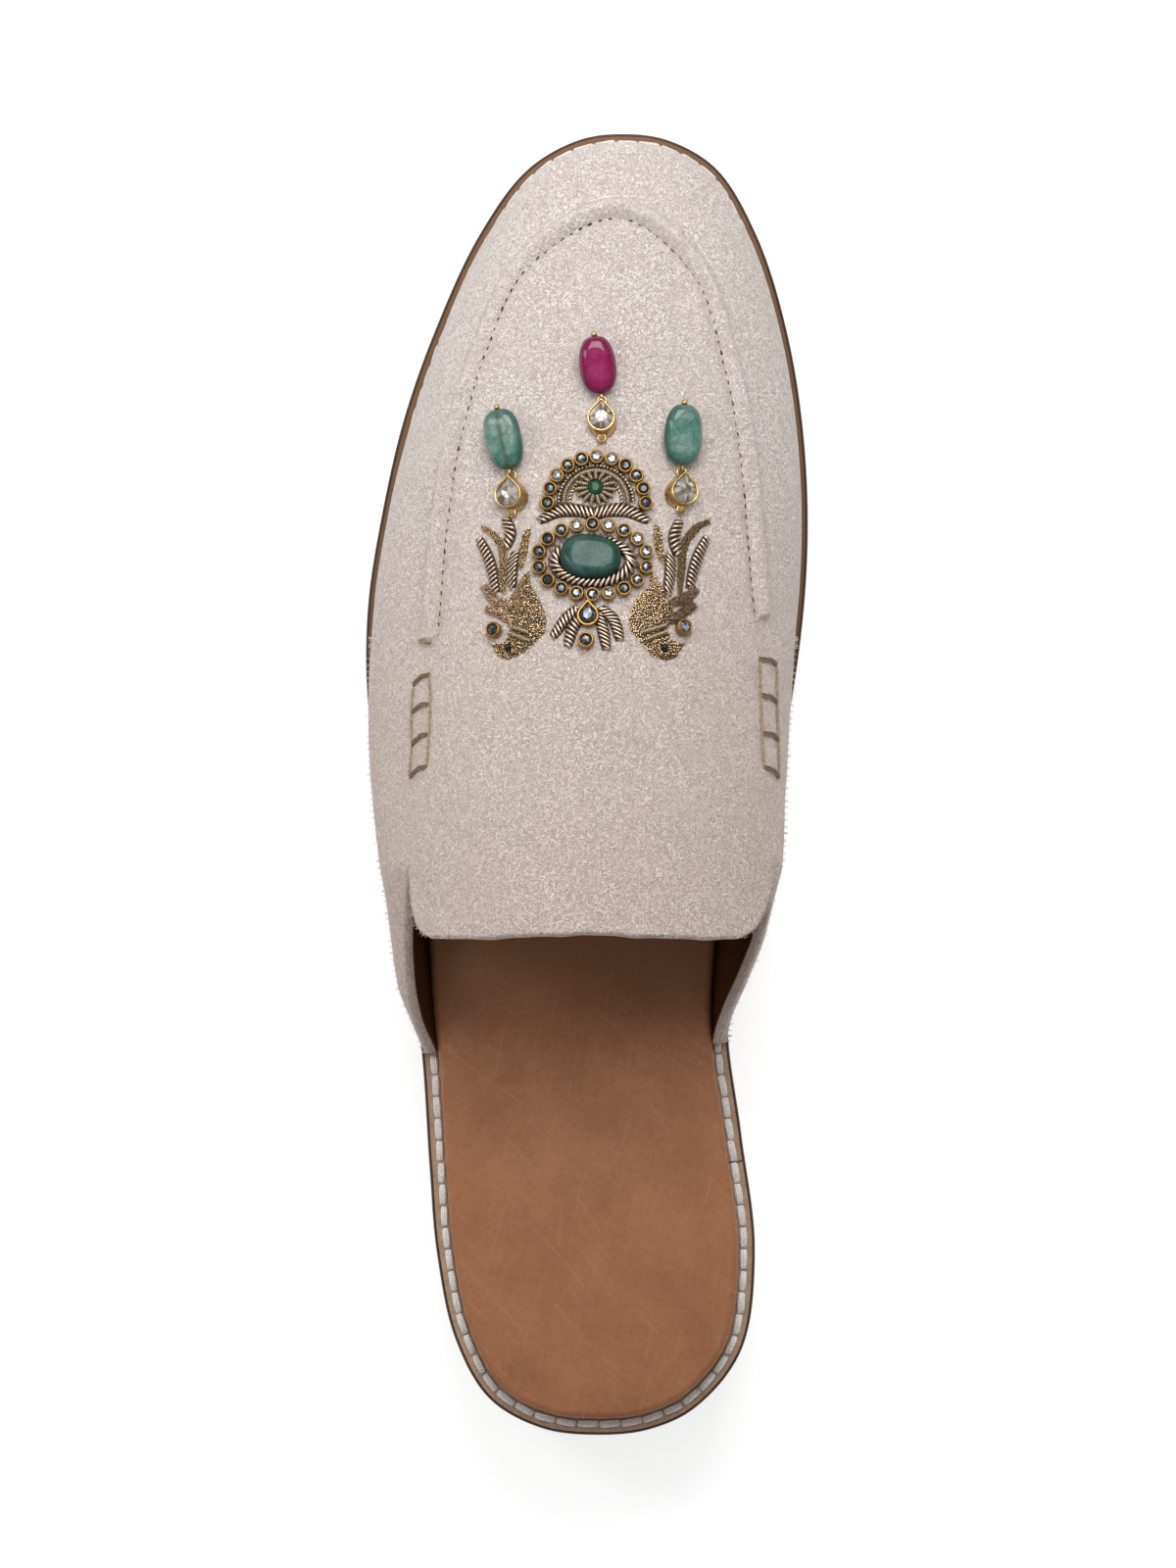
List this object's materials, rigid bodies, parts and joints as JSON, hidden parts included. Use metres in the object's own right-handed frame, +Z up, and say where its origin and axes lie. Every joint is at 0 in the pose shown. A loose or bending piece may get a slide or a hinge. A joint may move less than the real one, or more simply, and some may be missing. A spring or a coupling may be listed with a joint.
{
  "type": "loafer mule",
  "caption": "Left backless loafer slipper with a hollow suede upper, open heel, low stacked heel and a jewelled, embroidered vamp with swinging bead danglers.",
  "frame": {"origin": "on the floor, under the middle of the sole's outline", "axes": "+Y from heel to toe, +X to the medial (inner) side of this left shoe, +Z up"},
  "size_m": [0.0901, 0.265, 0.0762],
  "materials": {
    "suede_upper": "cream suede with a fine nap, lined with brown leather",
    "insole_leather": "smooth tan leather with a satin sheen",
    "sole_leather": "brown sole leather with a dyed, burnished edge",
    "welt_leather": "light brown leather strip, stitched",
    "heel_rubber": "matte dark rubber",
    "antique_gold_setting": "antique gold bezel with a clear stone",
    "bright_gold_setting": "polished gold bezel with a clear stone",
    "coil_thread": "twisted metal coil, antique gold",
    "gold_thread": "gold sewing thread",
    "green_stone": "polished green stone",
    "ruby_bead": "polished ruby red bead on a gold pin",
    "green_bead": "polished emerald green bead on a gold pin"
  },
  "bodies": {
    "shoe": {"outsole": "sole_leather", "welt": "welt_leather", "insole": "insole_leather", "heel_block": "sole_leather", "heel_top_piece": "heel_rubber", "upper": "suede_upper", "crescent_setting_1": "antique_gold_setting", "crescent_setting_2": "antique_gold_setting", "crescent_setting_3": "antique_gold_setting", "crescent_setting_4": "antique_gold_setting", "crescent_setting_5": "antique_gold_setting", "crescent_setting_6": "antique_gold_setting", "crescent_setting_7": "antique_gold_setting", "crescent_setting_8": "antique_gold_setting", "crescent_setting_9": "antique_gold_setting", "crescent_setting_10": "antique_gold_setting", "crescent_setting_11": "antique_gold_setting", "medallion_setting_1": "antique_gold_setting", "medallion_setting_2": "antique_gold_setting", "medallion_setting_3": "antique_gold_setting", "medallion_setting_4": "antique_gold_setting", "medallion_setting_5": "antique_gold_setting", "medallion_setting_6": "antique_gold_setting", "medallion_setting_7": "antique_gold_setting", "medallion_setting_8": "antique_gold_setting", "medallion_setting_9": "antique_gold_setting", "medallion_setting_10": "antique_gold_setting", "medallion_setting_11": "antique_gold_setting", "medallion_setting_12": "antique_gold_setting", "medallion_setting_13": "antique_gold_setting", "medallion_setting_14": "antique_gold_setting", "medallion_setting_15": "antique_gold_setting", "medallion_setting_16": "antique_gold_setting", "medallion_setting_17": "antique_gold_setting", "medallion_setting_18": "antique_gold_setting", "pear_setting": "antique_gold_setting", "round_setting": "antique_gold_setting", "lateral_bird_setting": "antique_gold_setting", "medial_bird_setting": "antique_gold_setting", "cabochon": "green_stone", "coil_band": "coil_thread", "flower_stone": "green_stone", "ruby_anchor": "gold_thread", "lateral_anchor": "gold_thread", "medial_anchor": "gold_thread"},
    "ruby_drop": {"ruby_drop": "bright_gold_setting"},
    "ruby_bead": {"ruby_bead": "ruby_bead"},
    "lateral_drop": {"lateral_drop": "bright_gold_setting"},
    "lateral_bead": {"lateral_bead": "green_bead"},
    "medial_drop": {"medial_drop": "bright_gold_setting"},
    "medial_bead": {"medial_bead": "green_bead"}
  },
  "joints": [
    {"name": "ruby_drop_swing", "type": "hinge", "parent": "shoe", "child": "ruby_drop", "pos_m": [0.0028, 0.07, 0.04647], "axis": [0.007, 0.2073, 0.9782], "range_deg": [-15, 15]},
    {"name": "ruby_bead_swing", "type": "hinge", "parent": "ruby_drop", "child": "ruby_bead", "pos_m": [0.00281, 0.07782, 0.04624], "axis": [0.0024, 0.2152, 0.9766], "range_deg": [-20, 20]},
    {"name": "lateral_drop_swing", "type": "hinge", "parent": "shoe", "child": "lateral_drop", "pos_m": [-0.0151, 0.0548, 0.04731], "axis": [-0.2839, 0.1859, 0.9407], "range_deg": [-15, 15]},
    {"name": "lateral_bead_swing", "type": "hinge", "parent": "lateral_drop", "child": "lateral_bead", "pos_m": [-0.0155, 0.06261, 0.04714], "axis": [-0.28, 0.1917, 0.9407], "range_deg": [-20, 20]},
    {"name": "medial_drop_swing", "type": "hinge", "parent": "shoe", "child": "medial_drop", "pos_m": [0.0185, 0.0555, 0.04729], "axis": [0.2755, 0.1765, 0.945], "range_deg": [-15, 15]},
    {"name": "medial_bead_swing", "type": "hinge", "parent": "medial_drop", "child": "medial_bead", "pos_m": [0.01898, 0.06331, 0.04718], "axis": [0.2669, 0.1809, 0.9466], "range_deg": [-20, 20]}
  ]
}
